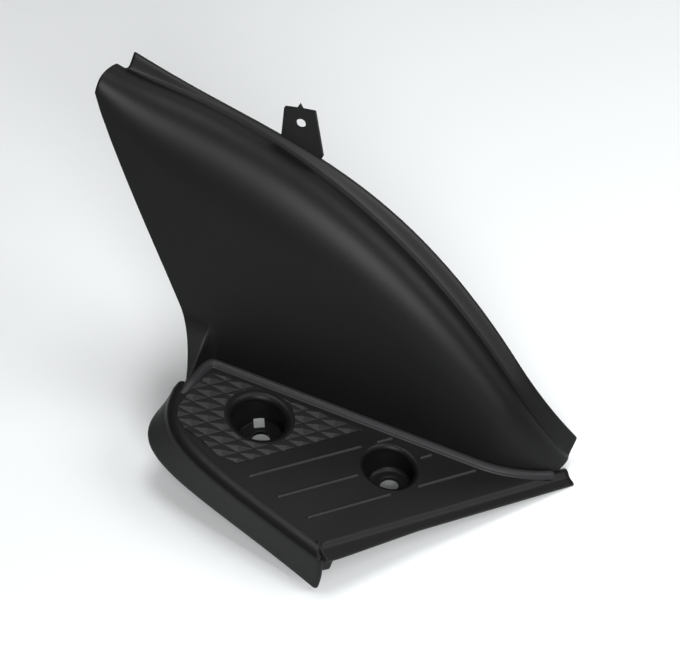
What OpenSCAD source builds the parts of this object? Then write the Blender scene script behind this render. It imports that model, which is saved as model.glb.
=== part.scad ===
// Scooter floorboard: one moulded plastic piece with a tread, a tall side panel and a skirt.
// Lengths are in millimetres. The origin is on the seat of the outer bolt cup, +Z is the bolt axis,
// +X runs along the foot of the side panel toward its low end and +Y points at the panel.

/* [Tread] */
// slope of the tread, down toward the low end of the panel, degrees
tread_slope = 12.4; // [8:0.2:16]
// thickness of the tread sheet
tread_wall = 2.8; // [2.2:0.2:3.6]
// distance from the bolt cup to the step along the front edge
step_reach = 39.4; // [37:0.2:42]
// how far the sloped face of the step runs
step_run = 1.7; // [1:0.1:2.4]
// height of the step down to the joining lip
step_drop = 2.4; // [1.6:0.2:3]
// width of the joining lip beyond the step
lip_width = 6.8; // [5:0.2:9]
// thickness of the joining lip
lip_wall = 2.2; // [1.6:0.2:3]

/* [Bolt cups] */
// distance between the two cups along the panel
cup_spacing = 87.4; // [84:0.2:92]
// mouth radius of the outer cup
small_mouth = 16.2; // [14:0.2:18]
// mouth radius of the inner cup
large_mouth = 17.4; // [15:0.2:19]
// radius of the rolled rim of a mouth
rim_roll = 2.2; // [1.2:0.2:3]
// flat ledge left between a rim and the sloping wall below it
rim_ledge = 0.9; // [0.7:0.1:1.2]
// how far a rolled rim spreads outward
rim_spread = 1.6; // [1:0.1:2.4]
// depth of the outer cup, tread to seat
small_depth = 16; // [13:0.5:19]
// depth of the inner cup, tread to seat
large_depth = 19; // [16:0.5:22]
// how much narrower a cup is at its seat than at its mouth
cup_taper = 2.6; // [1:0.2:4]
// wall thickness of a cup
cup_wall = 2.2; // [1.8:0.1:3]
// thickness of the seat under the bolt head
seat_wall = 3; // [2.4:0.2:4]
// radius of the bolt hole
bolt_hole = 6; // [4:0.25:7]
// width of the window at the back of the inner cup's seat
window_width = 7; // [5:0.5:9]
// height of that window above the seat
window_height = 3; // [1:0.5:6]
// turn of that window from straight back, degrees
window_turn = 23; // [10:1:35]

/* [Grip pattern] */
// side of one grip diamond
diamond_side = 11.36; // [10:0.02:13]
// sharp corner angle of a diamond, degrees
diamond_angle = 55.2; // [50:0.2:65]
// height of a grip pyramid
pyramid_height = 1.9; // [1:0.1:2.6]
// groove left between neighbouring pyramids
pyramid_gap = 0.9; // [0.5:0.1:1.5]
// radius of the plain ring kept around the inner cup
plain_ring = 22.7; // [21.5:0.1:25]

/* [Ribs] */
// distance from one rib to the next
rib_pitch = 20; // [17:0.5:22]
// width of a rib
rib_width = 1.8; // [1.2:0.1:2.6]
// height of a rib
rib_height = 1; // [0.6:0.1:1.8]
// radius round the outer cup where the ribs stop
rib_ring = 22; // [20:0.5:25]

/* [Side panel] */
// thickness of the panel
panel_wall = 2.5; // [2:0.1:3.2]
// lean of the panel away from the tread, degrees
panel_lean = 10; // [6:0.5:14]
// distance from the bolt cup to the foot of the panel
foot_offset = 30; // [29:0.25:31]
// radius of the welt along the foot of the panel
welt_radius = 2.2; // [1.6:0.1:2.8]
// how far the foot swings back at the low end
tail_swing = 17; // [14:0.5:19]

/* [Skirt] */
// thickness of the skirt
skirt_wall = 2.5; // [2:0.1:3.2]
// radius of the rolled shoulder at the top of the skirt
shoulder_roll = 5; // [3.5:0.25:6]

/* [Tab] */
// thickness of the fixing tab
tab_wall = 2.4; // [2:0.1:3]
// radius of the hole in the tab
tab_hole = 3.5; // [2.5:0.25:4]

/* [Hidden] */
columns = 46;
foot_corner_column = 19;
wall_rows = 7;
roll_rows = 9;
skirt_steps = 26;
round_steps = 96;
plain_colour = [0.13, 0.13, 0.14];

// curves in the panel's own plane: [x along the foot, height up the panel]
corner_rail = [[-232, 170], [-149, 131], [-46, 166], [102.5, 3]];
valley_rail = [[-230, 166], [-173, 158], [-35, 153], [103.5, 6.5]];
valley_depth = [22, 36, 30, 11];
edge_rail = [[-229, 176], [-138, 147], [-46, 171], [103.5, 17]];
edge_depth = [25, 39, 33, 16];
roll_reach = [17, 62, 44, 7];
left_rail = [[-242, 155], [-214, 98], [-142, 38], [-138, -2]];

// foot of the panel on the tread: down the left side, round the corner, then along the panel
foot_left = -138;
foot_end = 103;
foot_dip = -2;
corner_turn = 28;
end_swell = 5;

// curves of the skirt in the tread's frame
skirt_top_rail = [[-140, 12, 0], [-145, -40, 0], [-119, -46, 0], [-22, -80, 0]];
skirt_low_rail = [[-139.5, 8, -5], [-178, -46, -31], [-121, -45, -28], [-15, -86.7, -28]];

function clamp01(v) = max(0, min(1, v));
function mix(a, b, t) = a + (b - a) * t;
// cubic curve through four control points
function cubic(p, t) = pow(1 - t, 3) * p[0] + 3 * pow(1 - t, 2) * t * p[1]
    + 3 * (1 - t) * t * t * p[2] + pow(t, 3) * p[3];
function unit(v) = v / norm(v);

// how far the panel stands back of its straight run, near its low end
function foot_bend(x) = tail_swing * pow(max(0, min(1.2, (x - 50) / 52)), 2);
// how far it comes forward round the free corner of the tread, fading up the panel
function foot_curl(x, h) = -corner_turn * pow(clamp01((-121 - x) / 17), 6) * pow(clamp01(1 - (h + 2) / 34), 2);
// point of the panel from its own x, height and depth behind its face
function on_panel(x, h, d) = [x,
    foot_offset + h * sin(panel_lean) + d * cos(panel_lean) + foot_bend(x) + foot_curl(x, h),
    h * cos(panel_lean) - d * sin(panel_lean)];

// unit direction square to the corner rail, up and away from the foot
function rail_normal(t) = let (a = cubic(corner_rail, max(0, t - 0.01)),
    b = cubic(corner_rail, min(1, t + 0.01)), d = unit(b - a)) [-d[1], d[0]];
// where the roll begins on the flat of the panel
function roll_start(t) = cubic(corner_rail, t) - cubic(roll_reach, t) * rail_normal(t);
// the foot from the skirt, q = 0, round the corner and along the panel to the low end, q = 1
function foot_x(q) = q < 0.18 ? foot_left + 12 * pow(q / 0.18, 1.7)
    : mix(foot_left + 12, foot_end, (q - 0.18) / 0.82);
function foot_path(q) = let (x = foot_x(q)) [x, foot_offset + foot_bend(x) + foot_curl(x, foot_dip)];
// bottom point of a column in the panel's plane
function column_foot(i) = i <= foot_corner_column ? cubic(left_rail, mix(0.05, 1, i / foot_corner_column))
    : [foot_x((i - foot_corner_column) / (columns - foot_corner_column)), foot_dip];

// the free end of the panel bows out past the rails
function end_bow(t, q) = q > 0.95 ? 0
    : -end_swell * (0.6 + q + 0.7 * sin(180 * q)) * pow(max(0, 1 - t * 7), 2);

// one column of the panel's outer face, from foot to flange edge
function panel_column(i) = let (t = i / columns,
    f = column_foot(i), s = roll_start(t), v = cubic(valley_rail, t), e = cubic(edge_rail, t),
    vd = cubic(valley_depth, t), ed = cubic(edge_depth, t),
    n = rail_normal(t), g = [n[1], -n[0], 0], k = v + 2 * n, b = s + end_bow(t, 0) * [n[1], -n[0]],
    roll = [[s[0], s[1], 0], concat(mix(s, k, 0.58), [0]), concat(k, [vd * 0.42]), [v[0], v[1], vd]])
    concat(
        [for (j = [0 : wall_rows - 1]) let (p = mix(f, b, pow(j / wall_rows, 1.6))) on_panel(p[0], p[1], 0)],
        [for (j = [0 : roll_rows]) let (q = j / roll_rows, p = cubic(roll, q) + end_bow(t, q) * g)
            on_panel(p[0], p[1], p[2])],
        [on_panel(e[0], e[1], ed)]);
panel_rows = wall_rows + roll_rows + 1;

// a sheet given as a grid of points, thickened to one side into a closed body
function grid_normal(g, i, j) = let (n = len(g) - 1, m = len(g[0]) - 1,
    a = g[min(n, i + 1)][j] - g[max(0, i - 1)][j],
    b = g[i][min(m, j + 1)] - g[i][max(0, j - 1)]) unit(cross(a, b));
module sheet(g, wall) {
    n = len(g) - 1;
    m = len(g[0]) - 1;
    w = m + 1;
    back = (n + 1) * w;
    pts = concat([for (i = [0 : n]) for (j = [0 : m]) g[i][j]],
        [for (i = [0 : n]) for (j = [0 : m]) g[i][j] - wall * grid_normal(g, i, j)]);
    function at(i, j) = i * w + j;
    faces = concat(
        [for (i = [0 : n - 1]) for (j = [0 : m - 1]) [at(i, j), at(i, j + 1), at(i + 1, j + 1)]],
        [for (i = [0 : n - 1]) for (j = [0 : m - 1]) [at(i, j), at(i + 1, j + 1), at(i + 1, j)]],
        [for (i = [0 : n - 1]) for (j = [0 : m - 1])
            [back + at(i, j), back + at(i + 1, j + 1), back + at(i, j + 1)]],
        [for (i = [0 : n - 1]) for (j = [0 : m - 1])
            [back + at(i, j), back + at(i + 1, j), back + at(i + 1, j + 1)]],
        [for (i = [0 : n - 1]) [at(i, 0), at(i + 1, 0), back + at(i + 1, 0)]],
        [for (i = [0 : n - 1]) [at(i, 0), back + at(i + 1, 0), back + at(i, 0)]],
        [for (i = [0 : n - 1]) [at(i, m), back + at(i + 1, m), at(i + 1, m)]],
        [for (i = [0 : n - 1]) [at(i, m), back + at(i, m), back + at(i + 1, m)]],
        [for (j = [0 : m - 1]) [at(0, j), back + at(0, j + 1), at(0, j + 1)]],
        [for (j = [0 : m - 1]) [at(0, j), back + at(0, j), back + at(0, j + 1)]],
        [for (j = [0 : m - 1]) [at(n, j), at(n, j + 1), back + at(n, j + 1)]],
        [for (j = [0 : m - 1]) [at(n, j), back + at(n, j + 1), back + at(n, j)]]);
    polyhedron(points = pts, faces = faces);
}

// side panel with its rolled shoulder and joining flange
module side_panel() {
    sheet([for (i = [0 : columns]) panel_column(i)], panel_wall);
}

// directions in the tread: square to its front edge, and along it
front = [sin(45), -cos(45)];
along = [cos(45), sin(45)];
// direction of the skirt at its front end
skirt_run = unit([97, -34]);

// skirt below the left and outer edges of the tread
function skirt_out(s) = let (a = cubic(skirt_top_rail, max(0, s - 0.01)),
    b = cubic(skirt_top_rail, min(1, s + 0.01)), d = unit(b - a)) [d[1], -d[0], 0];
function skirt_column(s) = let (a = cubic(skirt_top_rail, s), b = cubic(skirt_low_rail, s), o = skirt_out(s),
    r = min(shoulder_roll, -b[2] * 0.45),
    mid = a + r * o + [0, 0, -r])
    concat(
        [a - 3 * o - [0, 0, 1.3]],
        [for (k = [0 : 5]) a + r * sin(k * 16) * o + [0, 0, -0.06 - r * (1 - cos(k * 16))]],
        [for (k = [1 : 4]) let (q = k / 4) mix(mix(mid, mix(mid, b, 0.4), q), mix(mix(mid, b, 0.4), b, q), q)]);
// wall that turns in from the skirt's front end, below the joining lip
module skirt_return() {
    sheet([[[-10.6, -78.4, -3.5], [-11.2, -81.6, -14]], [[-18.6, -85.8, -3.5], [-16.8, -86.2, -14]]], lip_wall);
}
// how far the skirt's front end runs on past its rails at height z
function skirt_end_run(z) = z > -4 ? mix(1.5, 4.8, -z / 4) : 4.8 * (1 - pow((-4 - z) / 24, 2));
module skirt() {
    run = [skirt_run[0], skirt_run[1], 0];
    grid = concat([[for (p = skirt_column(1)) p + skirt_end_run(p[2]) * run]],
        [for (i = [1 : skirt_steps]) skirt_column(1 - i / skirt_steps)]);
    sheet(grid, skirt_wall);
}

tip_along = 104.5;
lip_along = 110.5;
function at_front(reach, s) = reach * front + s * along;
function foot_offset_point(q, back) = let (a = foot_path(max(0, q - 0.01)), b = foot_path(min(1, q + 0.01)),
    d = unit(b - a)) foot_path(q) + back * [-d[1], d[0]];
tread_outline = concat(
    [for (k = [0 : 30]) foot_offset_point(k / 30 * 0.99, 1.8)],
    [at_front(step_reach + 0.1, tip_along), at_front(step_reach + 0.1, -71)],
    [for (k = [skirt_steps - 0.37 : -1 : 3]) let (s = k / skirt_steps,
        p = cubic(skirt_top_rail, s) + 0.35 * skirt_out(s)) [p[0], p[1]]]);
module tread_sheet() {
    translate([0, 0, -tread_wall]) linear_extrude(tread_wall) polygon(tread_outline);
}
// stepped joining lip along the front edge
module front_lip() {
    rotate([0, 0, 45]) rotate([90, 0, 90]) translate([0, 0, -72])
        linear_extrude(72 + lip_along)
            polygon([[-step_reach + 4, -1.4], [-step_reach + 0.6, -0.08], [-step_reach, -0.08],
                [-step_reach - step_run, -step_drop],
                [-step_reach - step_run - lip_width, -step_drop],
                [-step_reach - step_run - lip_width, -step_drop - lip_wall],
                [-step_reach + 4, -step_drop - lip_wall]]);
}

// welt along the foot of the panel
welt_steps = 34;
welt_sides = 8;
module welt() {
    path = [for (k = [0 : welt_steps]) let (q = foot_offset_point(mix(0.01, 0.985, k / welt_steps), -1.2))
        [q[0], q[1], 0.7]];
    ring = [for (k = [0 : welt_steps]) let (d = unit(path[min(welt_steps, k + 1)] - path[max(0, k - 1)]),
        o = [-d[1], d[0], 0])
        [for (a = [0 : welt_sides - 1]) path[k]
            + welt_radius * (cos(a * 360 / welt_sides) * o + [0, 0, sin(a * 360 / welt_sides)])]];
    function at(k, a) = k * welt_sides + a % welt_sides;
    polyhedron(points = [for (r = ring) for (p = r) p], faces = concat(
        [for (k = [0 : welt_steps - 1]) for (a = [0 : welt_sides - 1]) [at(k, a), at(k + 1, a + 1), at(k, a + 1)]],
        [for (k = [0 : welt_steps - 1]) for (a = [0 : welt_sides - 1]) [at(k, a), at(k + 1, a), at(k + 1, a + 1)]],
        [[for (a = [0 : welt_sides - 1]) at(0, a)]],
        [[for (a = [welt_sides - 1 : -1 : 0]) at(welt_steps, a)]]));
}

// grip diamonds: a lattice of low pyramids, kept off the ring round the inner cup
grip_start = [-121.6, -0.2];
grip_a = diamond_side * along;
grip_b = diamond_side * [cos(45 - diamond_angle), sin(45 - diamond_angle)];
grip_zone = [[-128, 20], [-98, 22.4], [-74, 21], [-24.5, 21], [-87.4, -42.4], [-101, -41.6],
    [-115, -34.6], [-127, -31], [-134, -24], [-136.4, -17], [-133.5, 3]];
module pyramid(c) {
    a = grip_a * (0.5 - pyramid_gap / diamond_side / 2);
    b = grip_b * (0.5 - pyramid_gap / diamond_side / 2);
    q = [c - a - b, c + a - b, c + a + b, c - a + b];
    polyhedron(points = concat([for (p = q) [p[0], p[1], -1]], [for (p = q) [p[0], p[1], -0.15]],
            [[c[0], c[1], pyramid_height]]),
        faces = [[3, 2, 1, 0], [0, 1, 5, 4], [1, 2, 6, 5], [2, 3, 7, 6], [3, 0, 4, 7],
            [4, 5, 8], [5, 6, 8], [6, 7, 8], [7, 4, 8]]);
}
module grip_pattern() {
    intersection() {
        for (i = [-6 : 7]) for (j = [-2 : 6]) {
            c = grip_start + (i + 0.5) * grip_a + (j + 0.5) * grip_b;
            if (c[0] > -146 && c[0] < -20 && c[1] > -48 && c[1] < 28
                && norm(c - [-cup_spacing, 0]) > plain_ring - 6) pyramid(c);
        }
        translate([0, 0, -1.5]) linear_extrude(1.5 + pyramid_height + 1) difference() {
            polygon(grip_zone);
            translate([-cup_spacing, 0]) circle(r = plain_ring, $fn = round_steps);
        }
    }
}

// ribs along the tread, broken by a plain ring round the outer cup
module rib(k, s0, s1) {
    rotate([0, 0, 45]) translate([s0, -k * rib_pitch - rib_width / 2, -1])
        cube([s1 - s0, rib_width, 1 + rib_height]);
}
side_gap = sqrt(rib_ring * rib_ring - rib_pitch * rib_pitch);
module ribs() {
    rib(-1, -90, -side_gap);
    rib(-1, 1, 13);
    rib(0, -80, -rib_ring);
    rib(0, rib_ring, 31);
    rib(1, -69, -side_gap);
    rib(1, side_gap, 53);
}

// fixing tab behind the flange, with its pointed locating nib
tab_share = 0.4; // how far along the flange the tab stands
tab_depth = cubic(edge_depth, tab_share) - 0.2;
tab_centre = [-122.4, 167.4];
module tab() {
    translate([0, foot_offset, 0]) rotate([90 - panel_lean, 0, 0])
        translate([0, 0, -tab_depth - tab_wall]) linear_extrude(tab_wall)
            polygon([[-134.6, 174], [-127, 175.8], [-126.2, 179.4], [-123.8, 176.6], [-116, 178],
                [-104, 151], [-106, 145], [-131, 150]]);
}
module tab_bore() {
    translate([0, foot_offset, 0]) rotate([90 - panel_lean, 0, 0])
        translate([tab_centre[0], tab_centre[1], -tab_depth - tab_wall - 2])
            cylinder(h = tab_wall + 4, r = tab_hole, $fn = round_steps);
}

// bolt cups, round the bolt axis
module on_tread() {
    translate([0, 0, small_depth]) rotate([0, tread_slope, 0]) children();
}
function cup_top(x) = [x * cos(tread_slope), 0, small_depth - x * sin(tread_slope)];
module at_cup(x, depth) {
    translate(cup_top(x) - [0, 0, depth]) children();
}
module cup_body(mouth, depth) {
    translate([0, 0, -seat_wall]) cylinder(h = depth + seat_wall + 4,
        r1 = mouth - cup_taper + cup_wall, r2 = mouth + cup_wall + 0.6, $fn = round_steps);
}
module cup_hollow(mouth, depth) {
    cylinder(h = depth + 6, r1 = mouth - cup_taper, r2 = mouth + cup_taper * 6 / depth, $fn = round_steps);
    translate([0, 0, -seat_wall - 1]) cylinder(h = seat_wall + 2, r = bolt_hole, $fn = round_steps);
}
module rolled_mouth(x, mouth) {
    r = mouth + rim_ledge;
    translate([x, 0, 0]) rotate_extrude($fn = round_steps) polygon(concat([[0, 1], [0, -rim_roll]],
        [for (a = [0 : 15 : 90]) [r + rim_spread * (1 - cos(a)), -rim_roll + rim_roll * sin(a)]],
        [[r + rim_spread, 1]]));
}
module cup_bodies() {
    difference() {
        union() {
            at_cup(0, small_depth) cup_body(small_mouth, small_depth);
            at_cup(-cup_spacing, large_depth) cup_body(large_mouth, large_depth);
        }
        on_tread() translate([-cup_spacing - 60, -40, 0]) cube([cup_spacing + 120, 80, 30]);
    }
}
module cup_hollows() {
    at_cup(0, small_depth) cup_hollow(small_mouth, small_depth);
    at_cup(-cup_spacing, large_depth) {
        cup_hollow(large_mouth, large_depth);
        rotate([0, 0, window_turn]) translate([-window_width / 2, bolt_hole + 3.4, -seat_wall - 1])
            cube([window_width, large_mouth, seat_wall + 1 + window_height]);
    }
    on_tread() {
        rolled_mouth(0, small_mouth);
        rolled_mouth(-cup_spacing, large_mouth);
    }
}

// everything moulded as one sheet, at its natural size
module sheet_work() {
    resize([0, 0, 0]) union() {
        tread_sheet();
        front_lip();
        ribs();
        tab();
        side_panel();
        skirt();
        skirt_return();
        welt();
        grip_pattern();
    }
}

module floorboard() {
    color(plain_colour) difference() {
        union() {
            on_tread() sheet_work();
            cup_bodies();
        }
        cup_hollows();
        on_tread() tab_bore();
    }
}

floorboard();
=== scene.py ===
import math

import bmesh
import bpy
import numpy as np
from mathutils import Matrix, Vector
from mathutils.geometry import delaunay_2d_cdt


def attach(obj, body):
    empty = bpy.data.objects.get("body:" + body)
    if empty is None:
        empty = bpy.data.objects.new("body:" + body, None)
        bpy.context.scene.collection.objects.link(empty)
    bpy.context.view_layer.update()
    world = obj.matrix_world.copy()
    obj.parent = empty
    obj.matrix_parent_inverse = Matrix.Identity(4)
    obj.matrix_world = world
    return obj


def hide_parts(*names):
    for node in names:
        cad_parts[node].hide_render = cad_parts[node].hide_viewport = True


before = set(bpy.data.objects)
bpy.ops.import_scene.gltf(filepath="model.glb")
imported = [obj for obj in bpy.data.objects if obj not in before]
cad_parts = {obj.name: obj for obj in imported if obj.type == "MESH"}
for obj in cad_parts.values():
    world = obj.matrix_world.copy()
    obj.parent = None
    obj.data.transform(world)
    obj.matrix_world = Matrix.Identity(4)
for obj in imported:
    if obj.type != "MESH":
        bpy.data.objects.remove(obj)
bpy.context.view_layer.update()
print("frame loaded")

# lengths are in millimetres in the tread's own frame: X along the foot of the panel, Y toward the panel,
# Z out of the tread
footing = {
    "slope": 12.4,  # the tread against the bolt axis, degrees
    "lift": 16.0,  # from the seat of the outer cup up to the tread
    "skin": 0.004,  # how far an edge that laps under the tread's face lies below it
}
frontWay = np.array((math.sqrt(0.5), -math.sqrt(0.5)))  # square to the front edge, outward
alongWay = np.array((math.sqrt(0.5), math.sqrt(0.5)))  # along the front edge, toward the panel
shells = []  # the moulding's closed shells: points, faces, whether they shade smooth, how much pale tone they take for boot wear and painted sheen


# the tread's frame turned by the slope about Y and lifted to the seat, in metres
def toPart(points):
    slope = math.radians(footing["slope"])
    x, y, z = np.moveaxis(np.asarray(points, float), -1, 0)
    turned = (x * math.cos(slope) + z * math.sin(slope), y,
              z * math.cos(slope) - x * math.sin(slope) + footing["lift"])
    return np.stack(turned, -1) * 0.001


# from a to b by a share of the way
def mix(a, b, share):
    return a + (b - a) * share


# each vector divided by its length
def unit(vectors):
    return vectors / np.maximum(np.linalg.norm(vectors, axis=-1, keepdims=True), 1e-9)


# each way turned a quarter to the left
def leftOf(way):
    return np.stack((-way[:, 1], way[:, 0]), -1)


# curve from a to b drawn toward a corner, weighted by the powers of t and 1 - t
def quadratic(a, corner, b, t):
    return (1 - t) ** 2 * a + 2 * t * (1 - t) * corner + t ** 2 * b


# cubic curve through four control points, weighted in the same way
def cubic(control, t):
    t = np.asarray(t, float)[..., None]
    p = np.asarray(control, float)
    return (1 - t) ** 3 * p[0] + 3 * (1 - t) ** 2 * t * p[1] + 3 * (1 - t) * t ** 2 * p[2] + t ** 3 * p[3]


# the way a rail runs at t, by the line between two points a small step from it
def railWay(rail, t, step=0.01):
    return unit(cubic(rail, np.minimum(1, t + step)) - cubic(rail, np.maximum(0, t - step)))


# points round a circle by the cosine and sine of even turns, clockwise where the way is -1
def circlePoints(centre, radius, sides, way=1):
    turn = way * 2 * np.pi * np.arange(sides) / sides
    return np.array(centre) + radius * np.column_stack((np.cos(turn), np.sin(turn)))


# a shell given in the tread's frame is kept in the part's
def addShell(points, faces, smooth=True, rubbedAndSheen=0.0):
    shells.append((toPart(points), faces, smooth, rubbedAndSheen))


# quads between neighbouring rows of a grid of point numbers
def gridFaces(numbers):
    a, b, c, d = numbers[:-1, :-1], numbers[1:, :-1], numbers[1:, 1:], numbers[:-1, 1:]
    return np.stack((a, b, c, d), -1).reshape(-1, 4).tolist()


# running point numbers laid out as a grid
def numberGrid(rows, columns, start=0):
    return start + np.arange(rows * columns).reshape(rows, columns)


# rings of points joined each to the next; the first and last are capped with a polygon or joined too
def ringFaces(rings, capped):
    numbers = numberGrid(*rings.shape[:2])
    closed = np.concatenate((numbers, numbers[:, :1]), 1)
    if capped:
        return gridFaces(closed) + [numbers[0].tolist(), numbers[-1][::-1].tolist()]
    return gridFaces(closed) + gridFaces(np.stack((closed[-1], closed[0])))


# a shell from rings of points
def tubeShell(rings, capped=True, rubbedAndSheen=0.0):
    addShell(rings.reshape(-1, 3), ringFaces(rings, capped), rubbedAndSheen=rubbedAndSheen)


# a sheet: the outer face given as a grid, its wall laid to the side away from cross(row way, column way),
# and every free edge rounded by a half circle across the wall
def sheetShell(outer, wall, turns=6, endTurns=(25, 50, 72)):
    rowWay, columnWay = np.gradient(outer, axis=0), np.gradient(outer, axis=1)
    normal = unit(np.cross(rowWay, columnWay))
    middle = outer - normal * wall / 2
    rows, columns = outer.shape[:2]
    angles = np.pi * np.arange(1, turns) / turns
    order = np.concatenate((np.arange(columns), np.full(turns - 1, columns - 1),
                            np.arange(columns)[::-1], np.zeros(turns - 1, int)))
    across = np.concatenate((np.ones(columns), np.cos(angles), -np.ones(columns), -np.cos(angles)))
    beyond = np.concatenate((np.zeros(columns), np.sin(angles), np.zeros(columns), np.sin(angles)))
    lastWay, firstWay = unit(outer[:, -1] - outer[:, -2]), unit(outer[:, 0] - outer[:, 1])
    edgeWay = np.where((order == 0)[None, :, None], firstWay[:, None], lastWay[:, None])
    section = across[:, None] * normal[:, order] + beyond[:, None] * edgeWay
    body = middle[:, order] + section * wall / 2
    ends = []
    for row, inner in ((0, 1), (rows - 1, rows - 2)):
        endWay = unit(outer[row] - outer[inner])[order]
        ends.append([middle[row, order] + wall / 2 * (section[row] * math.cos(a) + endWay * math.sin(a))
                     for a in np.radians(endTurns)])
    rings = np.concatenate((np.array(ends[0][::-1]), body, np.array(ends[1])))
    numbers = numberGrid(*rings.shape[:2])
    faces = gridFaces(np.concatenate((numbers, numbers[:, :1]), 1))
    inside = columns + turns - 1  # first point of the inner face in a ring
    for ring, flip in ((numbers[0], False), (numbers[-1], True)):
        strip = np.stack((ring[:columns], ring[inside:inside + columns][::-1]))
        faces += gridFaces(strip if flip else strip[::-1])
        farEnd = ring[columns - 1:inside + 1].tolist()
        nearEnd = ring[inside + columns - 1:].tolist() + [int(ring[0])]
        faces += [end[::-1] if flip else end for end in (farEnd, nearEnd)]
    addShell(rings.reshape(-1, 3), faces)


# outline points pushed square to the outline by a distance, to the left of its way round
def pushed(outline, distance):
    back, on = outline - np.roll(outline, 1, 0), np.roll(outline, -1, 0) - outline
    return outline + distance * leftOf(unit(unit(back) + unit(on)))


# whether a point lies in a loop: an upright line from it crosses the loop an odd number of times
def encloses(loop, point):
    a, b = loop, np.roll(loop, -1, 0)
    spans = (a[:, 0] > point[0]) != (b[:, 0] > point[0])
    height = a[:, 1] + (b[:, 1] - a[:, 1]) * (point[0] - a[:, 0]) / np.where(spans, b[:, 0] - a[:, 0], 1)
    return bool(np.sum(spans & (height > point[1])) % 2)


# a flat plate from an outline and holes that run the other way round; place turns (x, y, depth) into the
# tread's frame, and the corners of the rims are chamfered
def plateShell(outline, holes, wall, place, chamfer=0.0):
    loops = [np.asarray(outline, float)] + [np.asarray(h, float) for h in holes]
    levels = ((0, 0), (0, wall))
    if chamfer:
        levels = ((chamfer, 0.0), (0.0, chamfer), (0.0, wall - chamfer), (chamfer, wall))
    points, faces, rims = [], [], []
    for loop in loops:
        stack = np.stack([np.column_stack((pushed(loop, inset), np.full(len(loop), depth)))
                          for inset, depth in levels])
        numbers = numberGrid(*stack.shape[:2], start=sum(map(len, points)))
        faces += gridFaces(np.concatenate((numbers, numbers[:, :1]), 1))
        rims.append((numbers, stack))
        points.append(stack.reshape(-1, 3))
    for level in (0, -1):
        corners = [Vector(p[:2]) for _, stack in rims for p in stack[level]]
        names = [int(k) for numbers, _ in rims for k in numbers[level]]
        edges, at = [], 0
        for loop in loops:
            edges += [(at + k, at + (k + 1) % len(loop)) for k in range(len(loop))]
            at += len(loop)
        places, _, flat, source, _, _ = delaunay_2d_cdt(corners, edges, [], 1, 1e-6)
        for face in flat:
            middle = sum((places[k] for k in face), Vector((0, 0))) / len(face)
            if any(encloses(hole, middle) for hole in loops[1:]):
                continue
            face = [names[source[k][0]] for k in face]
            faces.append(face if level == 0 else face[::-1])
    addShell(place(np.concatenate(points)), faces, smooth=False)


def meshFrom(name, points, faces):
    mesh = bpy.data.meshes.new(name)
    mesh.from_pydata(np.asarray(points).tolist(), [], faces)
    mesh.update()
    return mesh


def objectFrom(name, data):
    made = bpy.data.objects.new(name, data)
    bpy.context.scene.collection.objects.link(made)
    return made


def faceOutward(mesh):
    work = bmesh.new()
    work.from_mesh(mesh)
    bmesh.ops.recalc_face_normals(work, faces=work.faces)
    work.to_mesh(mesh)
    work.free()


cutters = []  # what the next settled object is cut with


# an upright prism on an outline, kept or taken out of an object
def cutWith(made, outline, operation, low, high):
    n = len(outline)
    points = [(*p, z) for z in (low, high) for p in outline]
    faces = [list(range(n))[::-1], list(range(n, 2 * n))]
    faces += [[k, (k + 1) % n, n + (k + 1) % n, n + k] for k in range(n)]
    prism = objectFrom("prism", meshFrom("prism", points, faces))
    faceOutward(prism.data)
    cut = made.modifiers.new("cut", "BOOLEAN")
    cut.object, cut.operation, cut.solver = prism, operation, "EXACT"
    cutters.append(prism)


# points and faces of an object once its modifiers are done; it and its cutters are then dropped
def settled(made):
    bpy.context.view_layer.update()
    ready = made.evaluated_get(bpy.context.evaluated_depsgraph_get())
    mesh = ready.to_mesh()
    points = np.empty(len(mesh.vertices) * 3)
    mesh.vertices.foreach_get("co", points)
    faces = [list(p.vertices) for p in mesh.polygons]
    ready.to_mesh_clear()
    for done in (made, *cutters):
        bpy.data.objects.remove(done, do_unlink=True)
    cutters.clear()
    return points.reshape(-1, 3), faces


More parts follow.
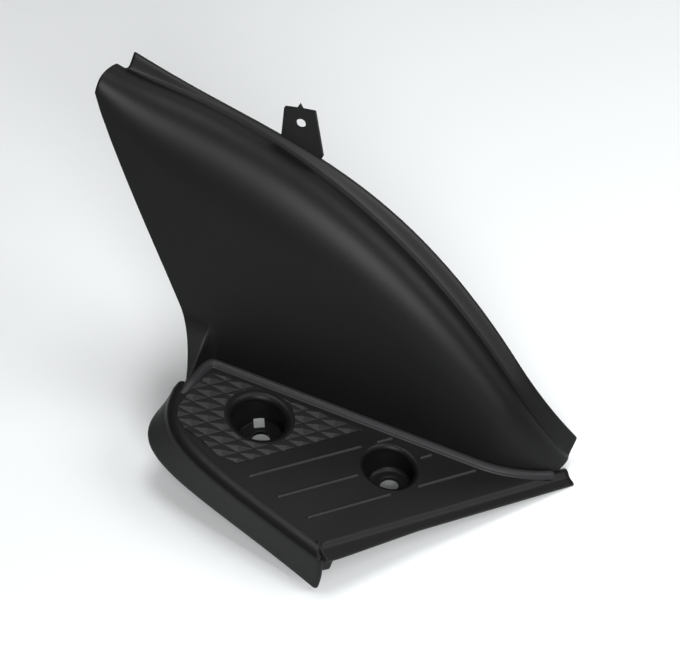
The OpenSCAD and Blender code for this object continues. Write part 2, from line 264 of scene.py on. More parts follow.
# rails are control points of cubic curves, on the panel's flat face as (x, height) or as a depth behind it
panel = {
    "wall": 2.5,
    "lean": 10.0,  # backward, degrees
    "footOffset": 30.0,  # from the line through the cups
    "footLeft": -138.0,
    "footEnd": 103.0,
    "footDip": -2.0,  # sunk in the tread
    "footSpan": (0.004, 0.985),  # shares of the foot that the tread and the welt follow
    "turnLength": 12.0,  # of the turned left end, along X
    "turnShare": 0.18,  # of the foot's samples
    "turnEase": 1.7,  # power that draws the samples of the turn toward its start
    "curl": 28.0,  # how far the left end turns forward
    "curlFrom": -121.0,
    "curlLength": 17.0,
    "curlHeight": 34.0,  # where the turn has faded out up the wall
    "tailSwing": 17.0,  # how far the low end swings back
    "tailFrom": 50.0,
    "tailLength": 52.0,
    "tailMost": 1.2,  # the swing is held beyond this share of that length
    "cornerShare": 19 / 46,  # share of the rails that stands above the free left edge
    "cornerRail": ((-232, 170), (-149, 131), (-46, 166), (102.5, 3)),
    "valleyRail": ((-230, 166), (-173, 158), (-35, 153), (103.5, 6.5)),
    "valleyDepth": ((22,), (36,), (30,), (11,)),
    "edgeRail": ((-229.5, 176.8), (-142, 146.5), (-43, 171), (104.5, 16.9)),
    "edgeDepth": ((25,), (39,), (33,), (16,)),
    "rollReach": ((17,), (62,), (44,), (7,)),  # how far below the corner rail the roll starts
    "leftRail": ((-242, 155), (-209.5, 98), (-157, 33), (-138, -2)),
    "leftFrom": 0.05,  # share of the left rail where the free edge starts
    "rollPull": (0.58, 0.42),  # share of the way out and of the depth that shape the roll
    "rollEnd": 0.93,
    "kneeRise": 2.0,
    "valleyEase": 0.3,  # share of the flange taken by the rounding of the valley
    "bow": (3.0, 5.0, 3.5),  # of the free upper end: at the wall, gained over the roll, and at its middle
    "bowFade": 7.0,
    "leftColumns": 90,
    "turnColumns": 44,
    "footColumns": 120,
    "wallRows": 34,
    "wallEase": 1.6,  # power that draws the wall's rows toward the foot
    "rollRows": 34,
    "valleyRows": (0.25, 0.5, 0.75, 1.0),
    "flangeRows": (0.33, 0.66, 1.0),
}


# the foot swings back at its low end by the square of the way along it
def footBend(x):
    along = np.clip((x - panel["tailFrom"]) / panel["tailLength"], 0, panel["tailMost"])
    return panel["tailSwing"] * along ** 2


# the left end turns forward by a high power of the way along it, less and less with the height h
def footCurl(x, h):
    along = np.clip((panel["curlFrom"] - x) / panel["curlLength"], 0, 1)
    return -panel["curl"] * along ** 6 * np.clip(1 - (h - panel["footDip"]) / panel["curlHeight"], 0, 1) ** 2


# x, height h and depth d behind the leaning face, with the bends of the foot added
def onPanel(x, h, d):
    lean = math.radians(panel["lean"])
    y = panel["footOffset"] + h * math.sin(lean) + d * math.cos(lean) + footBend(x) + footCurl(x, h)
    return np.stack((x, y, h * math.cos(lean) - d * math.sin(lean)), -1)


# the foot from the skirt, q = 0, round its turned end and along the panel to the low end, q = 1
def footX(q):
    share, straightFrom = panel["turnShare"], panel["footLeft"] + panel["turnLength"]
    bend = panel["footLeft"] + panel["turnLength"] * np.clip(q / share, 0, 1) ** panel["turnEase"]
    return np.where(q < share, bend, mix(straightFrom, panel["footEnd"], (q - share) / (1 - share)))


def footPath(q):
    x = footX(np.asarray(q, float))
    return np.stack((x, panel["footOffset"] + footBend(x) + footCurl(x, panel["footDip"])), -1)


# the foot shifted to the left of the way it runs, which is found by a small step
def footBeside(q, aside, step=0.004):
    way = unit(footPath(np.minimum(1, q + step)) - footPath(np.maximum(0, q - step)))
    return footPath(q) + aside * leftOf(way)


# each column runs flat from the foot to the start of the roll, over the roll on a cubic curve into the
# valley, and up the joining flange, with the valley's corner eased by a quadratic curve
def makePanel():
    share = panel["cornerShare"]
    turned = np.linspace(0, panel["turnShare"], panel["turnColumns"], endpoint=False)
    straight = np.linspace(panel["turnShare"], 1, panel["footColumns"])
    q = np.concatenate((turned, straight))[1:]
    left = np.linspace(0, share, panel["leftColumns"])
    t = np.concatenate((left, share + (1 - share) * q))
    foot = np.concatenate((cubic(panel["leftRail"], mix(panel["leftFrom"], 1, left / share)),
                           np.stack((footX(q), np.full(len(q), panel["footDip"])), -1)))
    alongRail = railWay(panel["cornerRail"], t)
    normal = leftOf(alongRail)
    start = cubic(panel["cornerRail"], t) - cubic(panel["rollReach"], t) * normal
    valley, valleyDepth = cubic(panel["valleyRail"], t), cubic(panel["valleyDepth"], t)
    flange = np.hstack((cubic(panel["edgeRail"], t), cubic(panel["edgeDepth"], t)))
    knee = valley + panel["kneeRise"] * normal
    bow, bowOver, bowMiddle = panel["bow"]
    swell = -np.clip(1 - t * panel["bowFade"], 0, 1)[:, None] ** 2
    wallTop = start + bow * swell * alongRail
    flat = np.zeros((len(t), 1))
    outShare, depthShare = panel["rollPull"]
    control = [np.hstack((start, flat)), np.hstack((mix(start, knee, outShare), flat)),
               np.hstack((knee, valleyDepth * depthShare)), np.hstack((valley, valleyDepth))]
    rows = [np.hstack((mix(foot, wallTop, s ** panel["wallEase"]), flat))
            for s in np.arange(panel["wallRows"]) / panel["wallRows"]]
    for s in np.linspace(0, panel["rollEnd"], panel["rollRows"]):
        bowed = (bow + bowOver * s + bowMiddle * math.sin(math.pi * s)) * swell * alongRail
        rows.append(cubic(control, s) + np.hstack((bowed, flat)))
    before, after = rows[-1], mix(control[3], flange, panel["valleyEase"])
    rows += [quadratic(before, control[3], after, s) for s in panel["valleyRows"]]
    rows += [mix(after, flange, s) for s in panel["flangeRows"]]
    grid = np.stack(rows, 1)
    sheetShell(onPanel(grid[..., 0], grid[..., 1], grid[..., 2]), panel["wall"])


makePanel()
print("side panel built")

welt = {
    "radius": 3.4,
    "arc": (165, 20),  # degrees of the round back, from the tread to the panel
    "inset": 1.2,
    "height": -0.2,
    "fillet": 0.3,  # how far in front of the round its foot lies
    "filletPull": 0.25,  # share of the radius by which the fillet's corner lies in front
    "sink": 0.9,
    "back": 1.4,  # how far it reaches into the panel
    "runOn": 7.0,
    "taper": (6.0, 3.0),  # the lengths over which its two ends swell, the first beyond the run-on
    "leastEase": 0.02,  # share of the swell that its ends start with
    "leastWide": 0.35,  # share of its width there
    "rings": 260,
    "leadRings": 24,  # in the run-on
    "arcPoints": 16,
    "filletPoints": 7,
    "rubbedAndSheen": 0.55,  # share of the pale tone, a painted highlight along the welt's round back
}


# a round back with a hollow fillet toward the tread, carried along the foot in front of the panel; its
# ends swell by a sine, and its first stretch runs on past the corner into the skirt's shoulder
def makeWelt():
    path = footBeside(np.linspace(*panel["footSpan"], welt["rings"]), 0)
    lead = np.linspace(1, 0, welt["leadRings"], endpoint=False)[:, None]
    path = np.concatenate((path[0] - welt["runOn"] * lead * unit(path[1] - path[0]), path))
    side = leftOf(unit(np.gradient(path, axis=0)))
    turn, r = np.radians(np.linspace(*welt["arc"], welt["arcPoints"])), welt["radius"]
    arc = np.column_stack((r * np.cos(turn) - welt["inset"], r * np.sin(turn) + welt["height"]))
    foot, bend = np.array((arc[0, 0] - welt["fillet"], 0)), np.array((arc[0, 0] - welt["filletPull"] * r, 0))
    fillet = quadratic(foot, bend, arc[0], np.linspace(0, 1, welt["filletPoints"])[:, None])
    section = np.concatenate(([(foot[0], -welt["sink"])], fillet[:-1], arc, [(welt["back"], -welt["sink"])]))
    along = np.concatenate(([0], np.linalg.norm(np.diff(path, axis=0), axis=1).cumsum()))
    first, last = welt["taper"]
    ease = np.minimum(along / (welt["runOn"] + first), (along[-1] - along) / last)
    tall = np.sin(np.clip(ease, welt["leastEase"], 1) * np.pi / 2)
    wide = mix(welt["leastWide"], 1, tall)
    flat = path[:, None] + section[None, :, :1] * side[:, None] * wide[:, None, None]
    height = np.where(section[None, :, 1] > 0, section[None, :, 1] * tall[:, None], section[None, :, 1])
    tubeShell(np.concatenate((flat, height[..., None]), -1), rubbedAndSheen=welt["rubbedAndSheen"])


makeWelt()
print("welt built")

# the top rail is where the tread ends and the low rail is the free edge; both start at the panel's corner
skirt = {
    "wall": 2.5,
    "roll": 5.0,  # radius of the rolled shoulder
    "rollMost": 0.45,  # the roll's largest share of the skirt's depth
    "rollTurn": 80,  # degrees
    "shoulder": 3.4,  # how far inside the rail the shoulder starts
    "shoulderFrom": 0.12,  # share of the rail where it begins to draw in, and over how much of it
    "shoulderRun": 0.3,
    "topRail": ((-140, 12, 0), (-145, -40, 0), (-119, -46, 0), (-22, -80, 0)),
    "lowRail": ((-138, 7, -5), (-177.5, -44, -31), (-121, -45, -28), (-16.5, -87.6, -28.4)),
    "from": 0.05,  # share of the rails where it starts
    "knee": 0.4,  # where the face's curve has its corner, as a share from shoulder to low rail
    "tuck": (3.0, 1.4),  # how far inside and below the rail its hidden edge lies
    "lap": 0.8,  # and how far inside it the shoulder's first row lies
    "run": (97, -34),  # direction of its front end
    "runOn": (0.2, 4.8),  # past the rails there, at the shoulder and at its most
    "runDepths": (4.0, 24.0),  # down to its most, and over which it then falls off by the square
    "runShare": 26.0,  # it is taken up over the last 26th of the rails
    "cornerRadius": 2.4,
    "cornerLeast": 0.1,  # share of that radius at the shoulder
    "cornerTurn": 64,  # degrees by which the front end is turned in
    "cornerRows": 9,
    "columns": 150,
    "rollRows": 12,
    "faceRows": 14,
}


# level and square to the top rail, outward
def skirtOut(s):
    return np.pad(-leftOf(railWay(skirt["topRail"], s)), ((0, 0), (0, 1)))


# the rail drawn in by the shoulder, which eases in by 3 - 2 times its share, times its square
def shoulderInset(s):
    ease = np.clip((np.asarray(s) - skirt["shoulderFrom"]) / skirt["shoulderRun"], 0, 1)[:, None]
    return skirt["shoulder"] * ease * ease * (3 - 2 * ease)


# the top rail less its inset
def skirtTop(s):
    return cubic(skirt["topRail"], s) - shoulderInset(s) * skirtOut(s)


# each column starts under the tread, turns over a round shoulder, then runs down to the low rail on a
# quadratic curve; the first few columns run on past the rails at the front end, and turn in there
def makeSkirt():
    s = np.linspace(1, skirt["from"], skirt["columns"])
    low, out, top, skin = cubic(skirt["lowRail"], s), skirtOut(s), skirtTop(s), footing["skin"]
    roll = np.minimum(skirt["roll"], -low[:, 2] * skirt["rollMost"])[:, None]
    width = roll + shoulderInset(s)
    down = np.array((0, 0, -1.0))
    inside, below = skirt["tuck"]
    rows = [top - inside * out + below * down, top - skirt["lap"] * out + skin * down]
    rows += [top + width * math.sin(a) * out + (skin + roll * (1 - math.cos(a))) * down
             for a in np.radians(np.linspace(0, skirt["rollTurn"], skirt["rollRows"]))]
    middle = top + width * out + roll * down
    knee = mix(middle, low, skirt["knee"])
    rows += [quadratic(middle, knee, low, k) for k in np.linspace(0, 1, skirt["faceRows"] + 1)[1:]]
    grid = np.stack(rows, 1)
    z = grid[..., 2].copy()
    z[:, 0] = z[:, 1]  # the row hidden in the tread ends with the one beside it
    near, far = skirt["runOn"]
    full, fall = skirt["runDepths"]
    reach = np.where(z > -full, mix(near, far, -z / full), far * (1 - ((-full - z) / fall) ** 2))
    share = np.clip(1 - (1 - s) * skirt["runShare"], 0, 1)[:, None]
    run = unit(np.array((*skirt["run"], 0), float))
    grid = grid + (reach * share)[..., None] * run
    turned = np.array((-run[1], run[0], 0))
    radius = skirt["cornerRadius"] * np.clip(-z[0] / full, skirt["cornerLeast"], 1)[:, None]
    corner = [grid[0] + radius * (math.sin(a) * run + (1 - math.cos(a)) * turned)
              for a in np.radians(np.linspace(skirt["cornerTurn"], 0, skirt["cornerRows"], endpoint=False))]
    sheetShell(np.concatenate((np.array(corner), grid)), skirt["wall"])


makeSkirt()

frontReturn = {
    "wall": 2.2,
    "outerSide": ((-10.6, -78.4, -3.5), (-11.2, -81.6, -14)),  # top and foot of each side
    "innerSide": ((-18.6, -85.8, -3.5), (-16.8, -86.2, -14)),
    "rows": 9,
}


# the wall that turns in from the skirt's front end under the joining lip: mixed between its two sides,
# and from top to foot
def makeReturn():
    share = np.linspace(0, 1, frontReturn["rows"])
    a, b = share[:, None, None], share[None, :, None]
    outerTop, outerFoot = np.array(frontReturn["outerSide"])
    innerTop, innerFoot = np.array(frontReturn["innerSide"])
    sheetShell(mix(mix(outerTop, innerTop, a), mix(outerFoot, innerFoot, a), b), frontReturn["wall"])


makeReturn()
print("skirt and its return built")

# the two bolt cups; x is along the foot from the outer one
cups = {
    "small": {"x": 0.0, "mouth": 16.0, "depth": footing["lift"],
              "rimWide": 3.4, "rimDeep": 3.8, "window": False},
    "large": {"x": -87.4, "mouth": 16.9, "depth": 19.0,
              "rimWide": 4.4, "rimDeep": 4.6, "window": True},
    "taper": 2.4,
    "wall": 2.2,
    "seat": 3.0,
    "boltHole": 6.0,
    "seatEdge": 0.5,  # roundings at the seat's edge, at the hole's and at the underside's
    "holeEdge": 0.4,
    "underEdge": 0.3,
    "underCorner": ((0.8, 0.0), (0.2, 0.3), (0.0, 1.0)),  # in from the wall and up from the underside
    "rimLap": 0.9,  # how far the rim reaches past its opening in the tread
    "rimSink": (1.4, 2.6),  # under the tread there: the lapping edge and the outer wall
    "seam": 5.0,  # below the rim, where the wall has turned square to the bolt axis
    "windowWidth": 7.0,
    "windowHeight": 3.0,
    "windowTurn": 23.0,
    "windowFrom": 9.4,  # from the bolt axis
    "windowTo": 30.0,
    "windowDrop": 4.0,  # how far its cutter reaches below the seat
    "sides": 144,
    "rimRings": 14,
    "blendRings": 9,  # from the rim to the wall
    "wallRings": 7,
}


# rings of a cup from the tread down the rim and the wall to the seat, then through the bolt hole and up
# outside; the rim's rings lie square to the tread and the wall's square to the bolt axis
def cupRings(cup, axis, tilt):
    circle = np.pad(circlePoints((0, 0), 1, cups["sides"]), ((0, 0), (0, 1)))
    tilted, centre = circle @ tilt, np.array((cup["x"], 0, 0.0))
    mouth, depth, wide, deep = cup["mouth"], cup["depth"], cup["rimWide"], cup["rimDeep"]
    hole, seatRadius, under = cups["boltHole"], mouth - cups["taper"], depth + cups["seat"]
    outer, seam = seatRadius + cups["wall"], deep + cups["seam"]
    seatEdge, holeEdge, underEdge = cups["seatEdge"], cups["holeEdge"], cups["underEdge"]

    def level(radius, z):
        return centre + radius * circle + np.array((0, 0, z))

    def wallRing(radius, down):
        return centre - down * axis + radius * tilted

    def innerRadius(down):
        return mouth - cups["taper"] * down / depth

    rimOuter, (lapSink, wallSink) = mouth + wide + cups["rimLap"], cups["rimSink"]
    rings = [level(rimOuter, -lapSink), level(rimOuter, -footing["skin"])]
    rings += [level(mouth + wide * (1 - math.cos(a)), deep * (math.sin(a) - 1))
              for a in np.radians(np.linspace(90, 0, cups["rimRings"]))]
    rimEnd = rings[-1]
    wallStart, shares = wallRing(innerRadius(seam), seam), np.linspace(0, 1, cups["blendRings"])
    rings += [mix(rimEnd, wallStart, k) for k in shares[1:]]
    downs = np.linspace(seam, depth - seatEdge, cups["wallRings"])
    wall = [(innerRadius(down), down) for down in downs[1:]]
    wall += [(seatRadius - seatEdge * math.sin(a), depth - seatEdge * math.cos(a))
             for a in np.radians((30, 60, 90))]
    wall += [(mix(seatRadius - seatEdge, hole + holeEdge, k), depth) for k in (0.35, 0.7, 1)]
    wall += [(hole + holeEdge * (1 - math.sin(a)), depth + holeEdge * (1 - math.cos(a)))
             for a in np.radians((45, 90))]
    wall += [(hole, under - underEdge), (hole + underEdge, under)]
    wall += [(outer - inward, under - up) for inward, up in cups["underCorner"]]
    lastDown = wall[-1][1]
    wall += [(mix(outer, mouth + cups["wall"], k), mix(lastDown, seam, k)) for k in (0.5, 1)]
    rings += [wallRing(radius, down) for radius, down in wall]
    return np.stack(rings + [level(rimOuter, -wallSink)])


# the window is cut upright through the cup's wall, just over the seat, in the part's frame in millimetres
def makeCup(cup):
    slope = math.radians(footing["slope"])
    cosine, sine = math.cos(slope), math.sin(slope)
    tilt = np.array(((cosine, 0, sine), (0, 1, 0), (-sine, 0, cosine)))
    axis = np.array((0, 0, 1.0)) @ tilt
    rings = cupRings(cup, axis, tilt)
    if not cup["window"]:
        tubeShell(rings, capped=False)
        return
    bowl = objectFrom("bowl", meshFrom("bowl", toPart(rings.reshape(-1, 3)) * 1000, ringFaces(rings, False)))
    turned = math.radians(cups["windowTurn"])
    aside = np.array((math.cos(turned), math.sin(turned)))
    outward = np.array((-aside[1], aside[0]))
    seat = toPart(np.array(((cup["x"], 0, 0),)) - cup["depth"] * axis)[0] * 1000
    near, far, half = cups["windowFrom"], cups["windowTo"], cups["windowWidth"] / 2
    outline = [seat[:2] + reach * outward + side * aside
               for reach, side in ((near, -half), (near, half), (far, half), (far, -half))]
    cutWith(bowl, outline, "DIFFERENCE", seat[2] - cups["windowDrop"], seat[2] + cups["windowHeight"])
    points, faces = settled(bowl)
    shells.append((points * 0.001, faces, False, 0.0))


tread = {
    "wall": 2.8,
    "frontReach": 39.4,  # from the outer cup to the step along the front edge
    "frontShort": 0.9,  # how far the plate stops short of it
    "frontEnds": (104.5, -68.5),  # along it, from the outer cup
    "tuck": 1.8,  # how far the plate runs in under the panel
    "shoulderLap": 0.02,  # and how far past the start of the skirt's shoulder
    "skirtSamples": 70,
    "footSamples": 70,
}


# depth below the tread, taken as a height
def onTread(points):
    return points * np.array((1, 1, -1))


# a flat plate: its outline follows the foot, the front edge and the skirt's rail, with a hole for each cup
def makeTread():
    foot = footBeside(np.linspace(*panel["footSpan"], tread["footSamples"]), tread["tuck"])
    s = np.linspace(1, skirt["shoulderFrom"], tread["skirtSamples"])
    rail = (skirtTop(s) + tread["shoulderLap"] * skirtOut(s))[:, :2]
    reach = tread["frontReach"] - tread["frontShort"]
    front = [reach * frontWay + end * alongWay for end in tread["frontEnds"]]
    holes = [circlePoints((cup["x"], 0), cup["mouth"] + cup["rimWide"], cups["sides"], way=-1)
             for cup in (cups["small"], cups["large"])]
    plateShell(np.concatenate((foot, front, rail))[::-1], holes, tread["wall"], onTread)


makeTread()
print("tread built")

lip = {
    "ends": (-71.7, 111.5),  # along the front edge, from the outer cup
    "run": 3.4,  # of the step, outward
    "drop": 2.2,
    "rounding": 1.4,
    "width": 5.6,
    "flare": 3.0,  # how much wider it gets toward the skirt
    "flareFrom": -5.0,
    "flareRun": 55.0,
    "flareBeyond": 3.0,  # past the step, where the points that move out with it start
    "flatAt": 2.0,  # past the step, a point on the flat between the roundings
    "wall": 2.2,
    "tuck": (4.0, 1.4),  # how far inside the step and below the tread its hidden edge lies
    "lap": 2.2,
    "edges": (0.8, 0.6),  # roundings of the outer edge, above and below
    "rings": 60,
    "roundPoints": 7,
}


# the section of the front edge carried straight along it: a step down to a flat joining lip, each corner
# rounded by a quadratic curve
def makeFrontLip():
    reach, r, skin = tread["frontReach"], lip["rounding"], -footing["skin"]
    far, low = reach + lip["run"], -lip["drop"]
    end, under = far + lip["width"], low - lip["wall"]
    inside, below = lip["tuck"]
    above, beneath = lip["edges"]
    slopeX, slopeZ = np.array((lip["run"], lip["drop"])) / math.hypot(lip["run"], lip["drop"])
    shares = np.linspace(0, 1, lip["roundPoints"])[:, None]

    def eased(a, corner, b):
        return quadratic(np.array(a), np.array(corner), np.array(b), shares)

    section = np.concatenate((
        [(reach - inside, -below), (reach - lip["lap"], skin)],
        eased((reach - r, skin), (reach, skin), (reach + r * slopeX, -r * slopeZ)),
        eased((far - r * slopeX, low + r * slopeZ), (far, low), (far + r, low)),
        [(far + lip["flatAt"], low)],
        eased((end - above, low), (end, low), (end, low - above)),
        eased((end, under + beneath), (end, under), (end - beneath, under)),
        [(reach - inside, under)]))
    s = np.linspace(*lip["ends"], lip["rings"])
    flare = lip["flare"] * np.clip((lip["flareFrom"] - s) / lip["flareRun"], 0, 1)
    wider = flare[:, None] * (section[None, :, 0] > far + lip["flareBeyond"])
    flat = (section[None, :, :1] + wider[..., None]) * frontWay + s[:, None, None] * alongWay
    height = np.broadcast_to(section[None, :, 1:], (len(s), len(section), 1))
    tubeShell(np.concatenate((flat, height), -1)[:, ::-1])


makeFrontLip()
print("joining lip built")

makeCup(cups["small"])
makeCup(cups["large"])
print("cups built")

ribs = {
    "pitch": 20.0,
    "width": 2.5,
    "height": 1.3,
    "taper": 0.8,  # length of each end
    "sink": 1.2,
    "ring": 22.0,  # plain ring round the outer cup
    "leftEnds": (-90, -80, -69),  # of the three rows, the one nearest the panel first
    "rightEnds": (13, 31, 53),
    "shortStart": 1.0,  # of the short rib in the first row
    "arc": (-8, 188),  # degrees of its round top
    "arcPoints": 15,
    "footShare": 0.9,  # width of its sunken foot, as a share
    "leastWide": 0.2,  # shares of width and height that are left at the tips
    "leastTall": 0.1,
    "rings": 50,
    # the ribs' share of the pale tone: partly boot wear, partly painted sheen on their round tops
    "rubbedAndSheen": 0.5,
}


# a low bar with a round top, tapered at both ends by a quarter circle
def makeRib(row, first, last):
    u = np.linspace(0, 1, ribs["rings"])
    ease = np.minimum(u, 1 - u) * (last - first) / ribs["taper"]
    swell = np.sqrt(1 - np.clip(1 - ease, 0, 1) ** 2)[:, None]
    a, foot = np.radians(np.linspace(*ribs["arc"], ribs["arcPoints"])), ribs["footShare"]
    side = np.concatenate((np.cos(a), (-foot, foot))) * ribs["width"] / 2
    height = np.concatenate((np.sin(a) * ribs["height"], (-ribs["sink"], -ribs["sink"])))
    across = row * ribs["pitch"] + side * np.maximum(swell, ribs["leastWide"])
    flat = (first + u * (last - first))[:, None, None] * alongWay + across[..., None] * frontWay
    z = np.where(height > 0, height * np.maximum(swell, ribs["leastTall"]), height)
    tubeShell(np.concatenate((flat, z[..., None]), -1), rubbedAndSheen=ribs["rubbedAndSheen"])


# three rows; those beside the middle one stop at the plain ring by half its chord there
def makeRibs():
    ring, gap = ribs["ring"], math.sqrt(ribs["ring"] ** 2 - ribs["pitch"] ** 2)
    left, right = ribs["leftEnds"], ribs["rightEnds"]
    for row, first, last in ((-1, left[0], -gap), (-1, ribs["shortStart"], right[0]), (0, left[1], -ring),
                             (0, ring, right[1]), (1, left[2], -gap), (1, gap, right[2])):
        makeRib(row, first, last)


makeRibs()
print("ribs built")

# points are (x, height) on a plane behind the panel's face
tab = {
    "depth": 32.6,
    "wall": 2.4,
    "hole": 3.5,
    "holeSides": 48,
    "centre": (-122.4, 167.4),
    "outline": ((-134.6, 174), (-127, 175.8), (-126.2, 179.4), (-123.8, 176.6), (-116, 178),
                (-104, 151), (-106, 145), (-131, 150)),
    "chamfer": 0.35,
}


# x, height and depth on a flat plane behind the leaning face, without the bends of the foot
def onTab(points):
    lean = math.radians(panel["lean"])
    x, h, d = points[:, 0], points[:, 1], tab["depth"] + points[:, 2]
    y = panel["footOffset"] + h * math.sin(lean) + d * math.cos(lean)
    return np.stack((x, y, h * math.cos(lean) - d * math.sin(lean)), -1)


# a flat plate with a round hole and chamfered rims
def makeTab():
    hole = circlePoints(tab["centre"], tab["hole"], tab["holeSides"])
    plateShell(tab["outline"], [hole], tab["wall"], onTab, tab["chamfer"])


makeTab()
print("fixing tab built")

grip = {
    "side": 11.36,  # of a diamond
    "angle": 55.2,  # between its sides, degrees
    "height": 1.25,
    "edge": 0.22,  # height of the upright edge below the slopes
    "gap": 0.6,  # groove between two pyramids
    "sink": 1.0,
    "ring": 22.7,  # plain ring round the inner cup
    "ringSides": 96,
    "ringLap": 6.0,  # how far inside it a pyramid's centre may lie
    "start": (-121.6, -0.2),  # a corner of the lattice, from which its steps are counted
    "across": range(-6, 8),
    "along": range(-2, 7),
    "field": ((-146, -20), (-48, 28)),  # x and y between which a pyramid may stand
    "zone": ((-128, 20), (-98, 22.4), (-74, 21), (-24.5, 21), (-87.4, -42.4), (-101, -41.6),
             (-115, -34.6), (-127, -31), (-134, -24), (-136.4, -17), (-133.5, 3)),
    "cut": (-1.3, 3.2),  # heights between which the zone is cut out
    "ridge": 0.16,  # how far the ridges are rounded
    "ridgeSteps": 2,
    "ridgeAngle": 10,  # degrees from which an edge counts as a ridge
    # the pyramids' share of the pale tone: partly boot wear, partly painted sheen on their facets
    "rubbedAndSheen": 0.35,
}


# a lattice of four-sided pyramids on leaning diamonds, their ridges a little rounded, cut by an upright prism
# that has the outline of the grip field and the plain ring round the inner cup
def makeGrip():
    angle = math.radians(45 - grip["angle"])
    sideA, sideB = grip["side"] * alongWay, grip["side"] * np.array((math.cos(angle), math.sin(angle)))
    half = 0.5 - grip["gap"] / grip["side"] / 2
    (left, right), (low, high) = grip["field"]
    cupX = cups["large"]["x"]
    points, faces = [], []
    for i in grip["across"]:
        for j in grip["along"]:
            c = np.array(grip["start"]) + (i + 0.5) * sideA + (j + 0.5) * sideB
            inField = left < c[0] < right and low < c[1] < high
            if not inField or math.hypot(c[0] - cupX, c[1]) < grip["ring"] - grip["ringLap"]:
                continue
            base = [c + half * (u * sideA + v * sideB) for u, v in ((-1, -1), (1, -1), (1, 1), (-1, 1))]
            n = len(points)
            points += [(*p, z) for z in (-grip["sink"], grip["edge"]) for p in base] + [(*c, grip["height"])]
            faces += [[n + k for k in face] for face in (
                (3, 2, 1, 0), (0, 1, 5, 4), (1, 2, 6, 5), (2, 3, 7, 6), (3, 0, 4, 7),
                (4, 5, 8), (5, 6, 8), (6, 7, 8), (7, 4, 8))]
    lattice = objectFrom("lattice", meshFrom("lattice", points, faces))
    ease = lattice.modifiers.new("ease", "BEVEL")
    ease.width, ease.segments = grip["ridge"], grip["ridgeSteps"]
    ease.limit_method, ease.angle_limit = "ANGLE", math.radians(grip["ridgeAngle"])
    cutWith(lattice, np.array(grip["zone"], float)[::-1], "INTERSECT", *grip["cut"])
    ring = circlePoints((cupX, 0), grip["ring"], grip["ringSides"], way=-1)
    cutWith(lattice, ring, "DIFFERENCE", *grip["cut"])
    points, faces = settled(lattice)
    addShell(points, faces, smooth=False, rubbedAndSheen=grip["rubbedAndSheen"])
    print("grip built:", len(faces), "faces")


makeGrip()


# one mesh from all the shells, with its faces turned outward
def joinMoulding():
    faces, smooth, rubbedAndSheen, start = [], [], [], 0
    for points, shellFaces, isSmooth, rubAndSheen in shells:
        faces += [[start + k for k in face] for face in shellFaces]
        smooth += [isSmooth] * len(shellFaces)
        rubbedAndSheen += [rubAndSheen] * len(points)
        start += len(points)
    mesh = meshFrom("floorboardMoulding", np.concatenate([shell[0] for shell in shells]), faces)
    mesh.polygons.foreach_set("use_smooth", smooth)
    mesh.attributes.new("rubbedAndSheen", "FLOAT", "POINT").data.foreach_set("value", rubbedAndSheen)
    faceOutward(mesh)
    return objectFrom("floorboardMoulding", mesh)


moulding = joinMoulding()
print("moulding joined:", len(shells), "shells,", len(moulding.data.polygons), "faces")

plastic = {
    "colour": (0.004, 0.004, 0.0044, 1),
    # the pale tone: worn edges, and painted sheen on the welt, ribs and grip
    "wearAndSheenTone": (0.036, 0.036, 0.0385, 1),
    "edgeWear": 0.2,
    "edgeRange": (0.52, 0.62),  # pointiness from which an edge counts as rubbed, and at which fully
    "roughness": (0.38, 0.46),
    "specular": 0.18,
    "cloudSize": 22.0,
    "cloudNoise": (4.0, 0.55),  # detail and roughness of the noise
    "grainSize": 900.0,
    "grainNoise": (3.0, 0.6),
    "bump": 0.0001,
    "bumpStrength": 0.4,
}


# short ways to add a node with its values and to link two sockets
def nodeTools(tree):
    def add(kind, **values):
        node = tree.nodes.new(kind)
        for key, value in values.items():
            if hasattr(node, key):
                setattr(node, key, value)
            else:
                node.inputs[key].default_value = value
        return node
    return add, tree.links.new


# fine moulded grain and rubbed edges: out come a share of wear, a cloud for the sheen and a height
def grainGroup():
    group = bpy.data.node_groups.new("mouldedGrain", "ShaderNodeTree")
    group.interface.new_socket("Vector", in_out="INPUT", socket_type="NodeSocketVector")
    for name, key in (("Grain Size", "grainSize"), ("Cloud Size", "cloudSize"), ("Edge Wear", "edgeWear")):
        socket = group.interface.new_socket(name, in_out="INPUT", socket_type="NodeSocketFloat")
        socket.default_value = plastic[key]
    for name in ("Wear", "Cloud", "Height"):
        group.interface.new_socket(name, in_out="OUTPUT", socket_type="NodeSocketFloat")
    add, link = nodeTools(group)
    given, result = add("NodeGroupInput"), add("NodeGroupOutput")
    noises = []
    for size, key in (("Grain Size", "grainNoise"), ("Cloud Size", "cloudNoise")):
        detail, roughness = plastic[key]
        noise = add("ShaderNodeTexNoise", Detail=detail, Roughness=roughness)
        link(given.outputs["Vector"], noise.inputs["Vector"])
        link(given.outputs[size], noise.inputs["Scale"])
        noises.append(noise)
    grain, cloud = noises
    shape = add("ShaderNodeNewGeometry")
    edge = add("ShaderNodeMapRange")
    edge.inputs["From Min"].default_value, edge.inputs["From Max"].default_value = plastic["edgeRange"]
    link(shape.outputs["Pointiness"], edge.inputs["Value"])
    broken = add("ShaderNodeMath", operation="MULTIPLY")
    link(edge.outputs["Result"], broken.inputs[0])
    link(cloud.outputs["Fac"], broken.inputs[1])
    wearAndSheenTone = add("ShaderNodeMath", operation="MULTIPLY", use_clamp=True)
    link(broken.outputs["Value"], wearAndSheenTone.inputs[0])
    link(given.outputs["Edge Wear"], wearAndSheenTone.inputs[1])
    link(wearAndSheenTone.outputs["Value"], result.inputs["Wear"])
    link(cloud.outputs["Fac"], result.inputs["Cloud"])
    link(grain.outputs["Fac"], result.inputs["Height"])
    return group
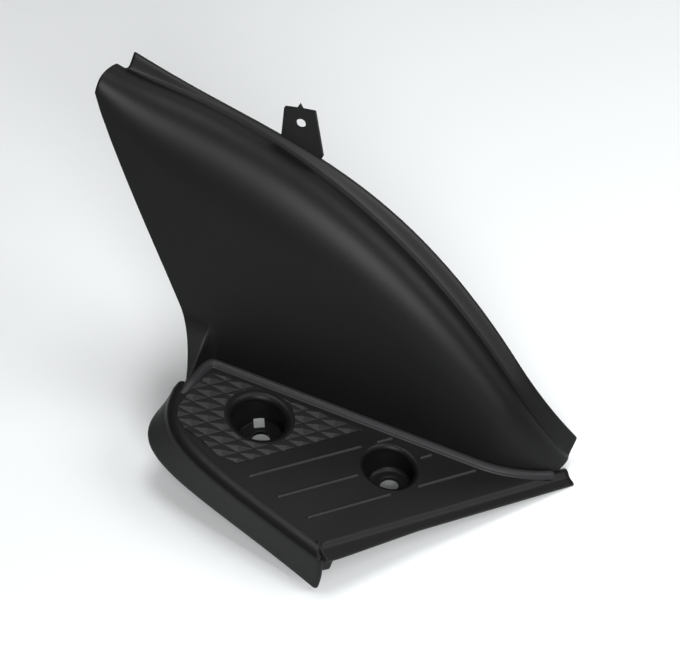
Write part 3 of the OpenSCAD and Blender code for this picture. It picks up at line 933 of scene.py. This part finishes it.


# near-black plastic, paler where it is worn and where a painted sheen lightens the welt, ribs and grip, with
# the grain in its sheen and bump
def plasticMaterial():
    material = bpy.data.materials.new("mouldedBlackPlastic")
    material.use_nodes = True
    tree = material.node_tree
    add, link = nodeTools(tree)
    shader = tree.nodes["Principled BSDF"]
    shader.inputs["Specular IOR Level"].default_value = plastic["specular"]
    place = add("ShaderNodeTexCoord")
    grain = add("ShaderNodeGroup", node_tree=grainGroup())
    link(place.outputs["Object"], grain.inputs["Vector"])
    tint = add("ShaderNodeMix", data_type="RGBA")
    tint.inputs[6].default_value, tint.inputs[7].default_value = plastic["colour"], plastic["wearAndSheenTone"]
    rubbedAndSheen = add("ShaderNodeAttribute", attribute_name="rubbedAndSheen")  # set on the ridges that boots rub, partly for that wear and partly as painted sheen in place of their highlights
    toned = add("ShaderNodeMath", operation="ADD", use_clamp=True)
    link(grain.outputs["Wear"], toned.inputs[0])
    link(rubbedAndSheen.outputs["Fac"], toned.inputs[1])
    link(toned.outputs["Value"], tint.inputs[0])
    link(tint.outputs[2], shader.inputs["Base Color"])
    rough = add("ShaderNodeMapRange")
    rough.inputs["To Min"].default_value, rough.inputs["To Max"].default_value = plastic["roughness"]
    link(grain.outputs["Cloud"], rough.inputs["Value"])
    link(rough.outputs["Result"], shader.inputs["Roughness"])
    bump = add("ShaderNodeBump")
    bump.inputs["Strength"].default_value = plastic["bumpStrength"]
    bump.inputs["Distance"].default_value = plastic["bump"]
    link(grain.outputs["Height"], bump.inputs["Height"])
    link(bump.outputs["Normal"], shader.inputs["Normal"])
    return material


moulding.data.materials.append(plasticMaterial())
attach(moulding, "root")
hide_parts("floorboard")
print("plastic laid on")

# each lamp: name, power, size and place in metres
studio = {
    "floorColour": (0.84, 0.86, 0.865, 1),
    "floorRoughness": 0.9,
    "floorSpecular": 0.2,
    "floorSize": 8.0,
    "skyStrength": 0.2,
    "target": (-0.02, 0.03, 0.05),
    "lamps": (("key", 18, 0.6, (0.52, -1.17, 0.87)), ("top", 9.5, 0.6, (0, 0.1, 1.6)),
              ("back", 3.2, 1.0, (0.25, 1.05, 1.2)), ("right", 10, 0.8, (1.125, 0.118, 1.13))),
}


# a pale floor at the moulding's lowest point
def makeFloor():
    low = min(corner[2] for corner in moulding.bound_box)
    half = studio["floorSize"] / 2
    corners = [(-half, -half, low), (half, -half, low), (half, half, low), (-half, half, low)]
    floor = objectFrom("studioFloor", meshFrom("studioFloor", corners, [[0, 1, 2, 3]]))
    paint = bpy.data.materials.new("palePaint")
    paint.use_nodes = True
    shader = paint.node_tree.nodes["Principled BSDF"]
    shader.inputs["Base Color"].default_value = studio["floorColour"]
    shader.inputs["Roughness"].default_value = studio["floorRoughness"]
    shader.inputs["Specular IOR Level"].default_value = studio["floorSpecular"]
    floor.data.materials.append(paint)


# square lamps turned toward the target
def makeLamps():
    target = Vector(studio["target"])
    for name, power, size, place in studio["lamps"]:
        light = bpy.data.lights.new(name + "Light", "AREA")
        light.energy, light.size = power, size
        lamp = objectFrom(name + "Light", light)
        lamp.location = place
        lamp.rotation_euler = (target - lamp.location).to_track_quat("-Z", "Y").to_euler()


# a dim white sky that the camera sees as plain white
def makeSky():
    world = bpy.context.scene.world or bpy.data.worlds.new("studioSky")
    bpy.context.scene.world = world
    world.use_nodes = True
    add, link = nodeTools(world.node_tree)
    sky = world.node_tree.nodes["Background"]
    sky.inputs["Color"].default_value = (1, 1, 1, 1)
    path = add("ShaderNodeLightPath")
    seen = add("ShaderNodeMapRange")
    seen.inputs["To Min"].default_value, seen.inputs["To Max"].default_value = studio["skyStrength"], 1.0
    link(path.outputs["Is Camera Ray"], seen.inputs["Value"])
    link(seen.outputs["Result"], sky.inputs["Strength"])


makeFloor()
makeLamps()
makeSky()

# where the camera stands, in metres, and the ways right, up and back from its picture
viewpoint = {
    "place": (0.22142520932, -0.80158823126, 0.88563103531),
    "right": (0.95425478, 0.29897957, -0.00300538),
    "up": (-0.19926185, 0.64341499, 0.73912913),
    "back": (0.22291822, -0.70471865, 0.67355705),
    "lens": 101.647,
    "sensor": 36.0,
    "clip": (0.05, 20),
}


# the camera fitted to the photograph
def makeCamera():
    lens = bpy.data.cameras.new("photoCamera")
    lens.lens, lens.sensor_width, lens.sensor_fit = viewpoint["lens"], viewpoint["sensor"], "HORIZONTAL"
    lens.clip_start, lens.clip_end = viewpoint["clip"]
    camera = objectFrom("photoCamera", lens)
    turn = Matrix((viewpoint["right"], viewpoint["up"], viewpoint["back"])).transposed()
    camera.matrix_world = Matrix.Translation(viewpoint["place"]) @ turn.to_4x4()
    bpy.context.scene.camera = camera


makeCamera()
bpy.context.scene.view_settings.view_transform = "Standard"
print("studio and camera set")
